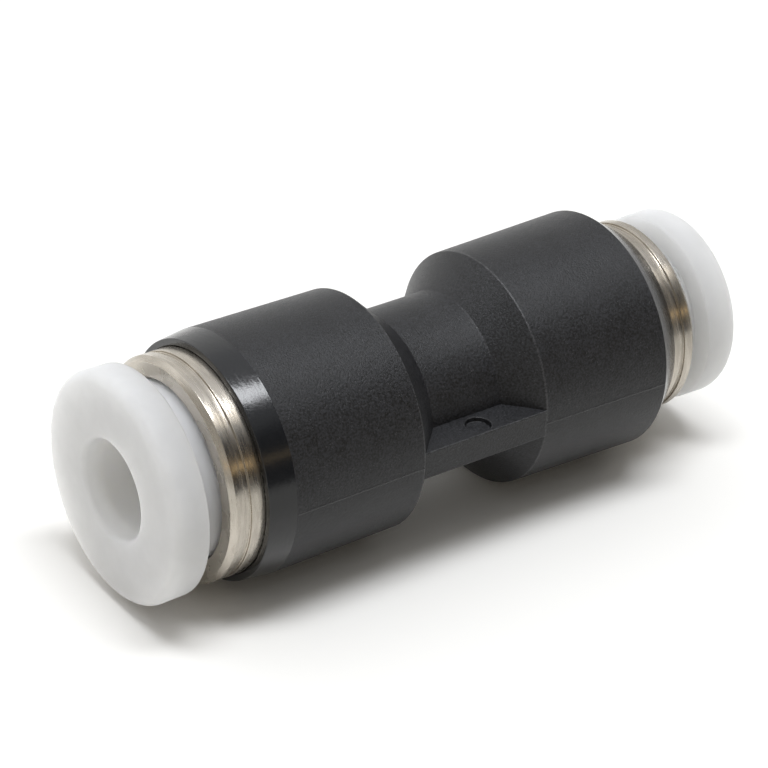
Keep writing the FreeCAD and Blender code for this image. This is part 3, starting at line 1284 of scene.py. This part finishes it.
@dataclass(frozen=True)
class ClawRing(HeldPiece):
    """Spring-steel ring: a flat rim and a crown of teeth that lean inward."""

    segments: int = 180
    edge_round: float = 0.03
    bend_round: float = 0.12
    gap_width: float = 0.42
    gap_root: float = 0.15
    gap_steps: int = 8

    def seat(self) -> Seat:
        """Where the claw ring belongs."""
        return self.end.seat("claws", "claw_ring", Slot.STEEL, "grip")

    def finish(self) -> Finish:
        """Steel of the claw ring."""
        return spring_steel()

    def outline(self) -> list[Corner]:
        """Works out the outline of the rim and of the cone of the crown.

        Returns:
            Corners of the closed outline.
        """
        end = self.end
        low, top = end.claw_at, end.claw_at + end.claw_thickness
        return [
            Corner(top, end.claw_r, self.edge_round),
            Corner(top, end.bend_r, self.bend_round),
            Corner(top - end.claw_drop, end.tip_r),
            Corner(low - end.claw_drop, end.tip_r),
            Corner(low, end.bend_r, self.bend_round),
            Corner(low, end.claw_r, self.edge_round),
        ]

    def tools(self) -> Iterator[Workpiece]:
        """Bars that cut the gaps between the teeth, with rounded roots.

        Returns:
            The bars.
        """
        end = self.end
        half = self.gap_width / 2.0
        root = (0.0, end.bend_r + self.gap_root - half)
        section = [(-half, end.tip_r / 2.0), (half, end.tip_r / 2.0)]
        section += arc(root, half, (0.0, 180.0), self.gap_steps)
        span = (end.claw_at - end.claw_drop - end.claw_thickness, end.claw_at + 2.0 * end.claw_thickness)
        return self.bars(section, span, end.teeth)


@dataclass(frozen=True)
class BackupRing(HeldPiece):
    """Moulded ring behind the claws, with the conical recess that they bend into."""

    bore_gap: float = 0.08
    mouth_gap: float = 0.06
    recess_clear: float = 0.35
    edge_round: float = 0.05
    mouth_round: float = 0.03
    recess_round: float = 0.08

    def seat(self) -> Seat:
        """Where the backup ring belongs."""
        return self.end.seat("backup", "backup_ring", Slot.RING)

    def finish(self) -> Finish:
        """Acetal of the backup ring."""
        return natural_acetal()

    def outline(self) -> list[Corner]:
        """Closed outline of the ring."""
        end, bore_r = self.end, self.end.tube_r + self.bore_gap
        return [
            Corner(end.backup_at, bore_r, self.edge_round),
            Corner(end.backup_at, end.backup_r, self.edge_round),
            Corner(end.backup_top_at, end.backup_r, self.mouth_round),
            Corner(end.backup_top_at, end.bend_r + self.mouth_gap, self.mouth_round),
            Corner(end.backup_floor_at, end.nose_r + self.recess_clear, self.recess_round),
            Corner(end.backup_floor_at, bore_r, self.recess_round),
        ]


@dataclass(frozen=True)
class LipSeal(HeldPiece):
    """Rubber ring whose inner lip presses on the tube, notched on the side of the pressure."""

    squeeze: float = 0.12
    lip: float = 0.45
    notch: float = 0.7
    back_round: float = 0.06
    heel_round: float = 0.08
    lip_round: float = 0.05
    notch_round: float = 0.1

    def seat(self) -> Seat:
        """Where the seal belongs."""
        return self.end.seat("lip_seal", "seal", Slot.SEAL)

    def finish(self) -> Finish:
        """Rubber of the seal."""
        return seal_rubber()

    def outline(self) -> list[Corner]:
        """Works out the outline of the seal.

        Returns:
            Corners of the closed outline.
        """
        end = self.end
        bore_r, outer_r = end.tube_r - self.squeeze, end.seal_r
        back, front = end.backup_at - end.side_gap, end.seal_at + end.side_gap
        return [
            Corner(back, end.seat_r, self.back_round),
            Corner(back, outer_r, self.heel_round),
            Corner(front, outer_r, self.lip_round),
            Corner(front, outer_r - self.lip, self.lip_round),
            Corner(front + self.notch, (outer_r + bore_r) / 2.0, self.notch_round),
            Corner(front, bore_r + self.lip, self.lip_round),
            Corner(front, bore_r, self.lip_round),
        ]


@dataclass(frozen=True)
class Softbox:
    """Softbox that faces the fitting, with its sizes in millimetres."""

    name: str
    middle: tuple[float, float, float]
    width: float
    length: float
    radiance: float
    plan_deg: float = 0.0
    colour: Colour = (0.945, 0.968, 1.0)

    def build(self) -> None:
        """Hangs the softbox so that it faces the fitting."""
        lamp = bpy.data.lights.new(self.name, "AREA")
        lamp.shape = "RECTANGLE"
        lamp.size = self.width * METRES_PER_MM
        lamp.size_y = self.length * METRES_PER_MM
        lamp.energy = self.radiance * math.pi * lamp.size * lamp.size_y
        lamp.color = self.colour
        hung = bpy.data.objects.new(self.name, lamp)
        hung.visible_camera = False
        middle = Vector(self.middle)
        away = middle.normalized()
        plan = Matrix.Rotation(math.radians(self.plan_deg), 3, "Z") @ Vector((1.0, 0.0, 0.0))
        along = (plan - away * plan.dot(away)).normalized()
        turn = Matrix((along, away.cross(along), away)).transposed().to_4x4()
        hung.matrix_world = Matrix.Translation(middle * METRES_PER_MM) @ turn
        bpy.context.scene.collection.objects.link(hung)
        LOG.info("%s: %.2f W", self.name, lamp.energy)


@dataclass(frozen=True)
class Surround:
    """Walls of the studio as the fitting sees them: pale behind and at the left, dark at the camera.

    Each wall fades in over a band of the direction that it is seen in. A warm strip shows in glossy
    surfaces alone, and a low card at the left lights the others.
    """

    dark: Colour = (0.02, 0.02, 0.022)
    back: Colour = (0.92, 0.92, 0.91)
    back_y: Band = (-0.15, 0.35)
    left: Colour = (0.46, 0.445, 0.415)
    left_x: Band = (-0.45, -0.68)
    right: Colour = (0.30, 0.29, 0.275)
    right_x: Band = (0.45, 0.8)
    ceiling: Colour = (0.38, 0.39, 0.405)
    ceiling_back: Colour = (0.75, 0.76, 0.78)
    ceiling_y: Band = (-0.10, 0.20)
    ceiling_z: Band = (0.62, 0.82)
    strip: Colour = (0.95, 0.71, 0.40)
    strip_low: Band = (0.31, 0.36)
    strip_high: Band = (0.46, 0.41)
    strip_y: Band = (-0.2, -0.3)
    least_y: float = 0.05
    card: Colour = (0.60, 0.55, 0.46)
    card_x: Band = (-0.10, -0.45)
    card_y: Band = (0.05, -0.15)
    card_z: Band = (0.60, 0.45)
    seen: Colour = (1.0, 1.0, 1.0)

    def build(self) -> None:
        """Makes the world: plain white to the camera, and the walls to everything else."""
        world = bpy.data.worlds.new("studio")
        bpy.context.scene.world = world
        world.use_nodes = True
        bench = NodeBench(world.node_tree, "Generated")
        x, y, z = bench.add("ShaderNodeSeparateXYZ", {0: bench.place}).outputs
        rays = bench.add("ShaderNodeLightPath").outputs
        glossy = rays["Is Glossy Ray"]
        colour = self.walls(bench, x, y, z)
        slope = bench.math("DIVIDE", z, bench.math("MAXIMUM", bench.math("MULTIPLY", y, -1.0), self.least_y))
        edges = bench.ramp(slope, self.strip_low), bench.ramp(slope, self.strip_high)
        on_strip = bench.fold("MULTIPLY", *edges, bench.ramp(y, self.strip_y), glossy)
        colour = bench.blend(on_strip, colour, self.strip)
        edges = bench.ramp(x, self.card_x), bench.ramp(y, self.card_y), bench.ramp(z, self.card_z)
        on_card = bench.fold("MULTIPLY", *edges, bench.math("SUBTRACT", 1.0, glossy))
        colour = bench.blend(on_card, colour, self.card)
        colour = bench.blend(rays["Is Camera Ray"], colour, self.seen)
        light = bench.add("ShaderNodeBackground", {"Color": colour, "Strength": 1.0})
        bench.add("ShaderNodeOutputWorld", {"Surface": light.outputs[0]})

    def walls(self, bench: NodeBench, x: Any, y: Any, z: Any) -> Any:
        """Lays the walls and the ceiling over one another.

        Args:
            bench: Node bench of the world.
            x: X of the direction.
            y: Its Y.
            z: Its Z.

        Returns:
            The colour's socket.
        """
        colour = bench.blend(bench.ramp(y, self.back_y), self.dark, self.back)
        colour = bench.blend(bench.ramp(x, self.left_x), colour, self.left)
        colour = bench.blend(bench.ramp(x, self.right_x), colour, self.right)
        ceiling = bench.blend(bench.ramp(y, self.ceiling_y), self.ceiling, self.ceiling_back)
        return bench.blend(bench.ramp(z, self.ceiling_z), colour, ceiling)


@dataclass(frozen=True)
class Floor:
    """Plain pale floor under the fitting, with a painted shade in front of it for all rays but the camera's.
    The camera sees it turn to plain white far out.
    """

    top: float
    half_size: float = 2500.0
    pale: Colour = (0.965, 0.95, 0.92)
    # Painted shade: other rays see the board darker in a band in front of the fitting, where its shadow
    # falls
    painted_shade: Colour = (0.66, 0.65, 0.62)
    painted_shade_y: Band = (-22.0, -4.0)
    dark: Colour = (0.04, 0.04, 0.042)
    dark_y: Band = (-114.0, -106.0)
    white: Colour = (1.0, 1.0, 1.0)
    white_reach: Band = (18.0, 100.0)
    reach_x: float = 0.5

    def build(self) -> None:
        """Lays the floor."""
        h = self.half_size
        verts = [Vector((x, y, self.top)) for x, y in ((-h, -h), (h, -h), (h, h), (-h, h))]
        sheet = Workpiece("floor", verts, [[0, 1, 2, 3]]).move(Matrix.Scale(METRES_PER_MM, 4))
        sheet.obj.data.materials.append(self.material())

    def material(self) -> bpy.types.Material:
        """Builds the floor's material.

        Returns:
            Matt pale board with a painted shade in front of the fitting, dark to other rays beyond its front
            edge and white to the camera far out.
        """
        made = bpy.data.materials.new("pale_floor")
        made.use_nodes = True
        bench = NodeBench(made.node_tree)
        camera = bench.add("ShaderNodeLightPath").outputs["Is Camera Ray"]
        x, y, _ = bench.parts_in_mm()
        # Painted shade in front of the fitting, for all rays but the camera's
        board = bench.blend(bench.ramp(y, self.painted_shade_y), self.painted_shade, self.pale)
        board = bench.blend(bench.ramp(y, self.dark_y), self.dark, board)
        matt = bench.add("ShaderNodeBsdfDiffuse", {"Color": bench.blend(camera, board, self.pale)})
        white = bench.add("ShaderNodeEmission", {"Color": self.white, "Strength": 1.0})
        reach = bench.length(bench.math("MULTIPLY", x, self.reach_x), y)
        share = bench.math("MULTIPLY", bench.ramp(reach, self.white_reach), camera)
        mixed = bench.add("ShaderNodeMixShader", {0: share, 1: matt.outputs[0], 2: white.outputs[0]})
        bench.add("ShaderNodeOutputMaterial", {"Surface": mixed.outputs[0]})
        return made


@dataclass(frozen=True)
class ProductCamera:
    """Long-lens camera at the photo's viewing angle."""

    place: tuple[float, float, float] = (-83.048, -109.880, 88.616)
    forward: tuple[float, float, float] = (0.51324, 0.67044, -0.53582)
    roll_deg: float = 3.585
    lens: float = 157.74
    sensor: float = 36.0
    clip: Band = (10.0, 20000.0)

    def build(self) -> None:
        """Places the camera and makes it the scene's own."""
        data = bpy.data.cameras.new("product_camera")
        data.lens = self.lens
        data.sensor_width = self.sensor
        data.clip_start, data.clip_end = (distance * METRES_PER_MM for distance in self.clip)
        camera = bpy.data.objects.new("product_camera", data)
        turn = Vector(self.forward).to_track_quat("-Z", "Y").to_matrix().to_4x4()
        roll = Matrix.Rotation(math.radians(self.roll_deg), 4, "Z")
        camera.matrix_world = Matrix.Translation(Vector(self.place) * METRES_PER_MM) @ turn @ roll
        bpy.context.scene.collection.objects.link(camera)
        bpy.context.scene.camera = camera


@dataclass(frozen=True)
class Studio:
    """Floor, walls, softboxes and camera."""

    floor: Floor
    surround: Surround = Surround()
    key: Softbox = Softbox("overhead_softbox", (30.0, -85.0, 1000.0), 700.0, 245.0, 13.9, plan_deg=-30.0)
    fill: Softbox = Softbox("back_softbox", (-450.0, 620.0, 640.0), 600.0, 600.0, 0.5)
    side: Softbox = Softbox(
        "side_softbox", (600.0, -350.0, 1000.0), 320.0, 280.0, 1.3, colour=(1.0, 0.94, 0.84)
    )
    camera: ProductCamera = ProductCamera()

    def build(self) -> None:
        """Builds the studio and sets the plain view transform."""
        for part in (self.floor, self.surround, self.key, self.fill, self.side, self.camera):
            part.build()
        bpy.context.scene.view_settings.view_transform = "Standard"
        LOG.info("studio: floor, walls, softboxes and camera")


def large_end() -> PushInEnd:
    """Sizes of the end for the large tube."""
    return PushInEnd(
        "large", flow_r=1.6, barrel_wall=0.54, draft=0.08, lip_wall=0.35, flange_rise=1.30,
        collar_wall=0.61, collar_proud=1.78, collar_length=3.88, teeth=12,
    )


def small_end() -> PushInEnd:
    """Sizes of the end for the small tube."""
    return PushInEnd(
        "small", flow_r=1.15, barrel_wall=1.19, draft=0.16, lip_wall=0.14, flange_rise=1.21,
        collar_wall=0.74, collar_proud=1.51, collar_length=3.83, teeth=10,
    )


def main() -> None:
    """Builds the fitting piece by piece, then the studio round it."""
    logging.basicConfig(level=logging.INFO, format="%(message)s")
    large, small = large_end(), small_end()
    for part in (MouldedBody(large, small), large, small):
        part.build()
    Studio(Floor(top=-large.mouth_r - FLOOR_GAP)).build()


if __name__ == "__main__":
    main()
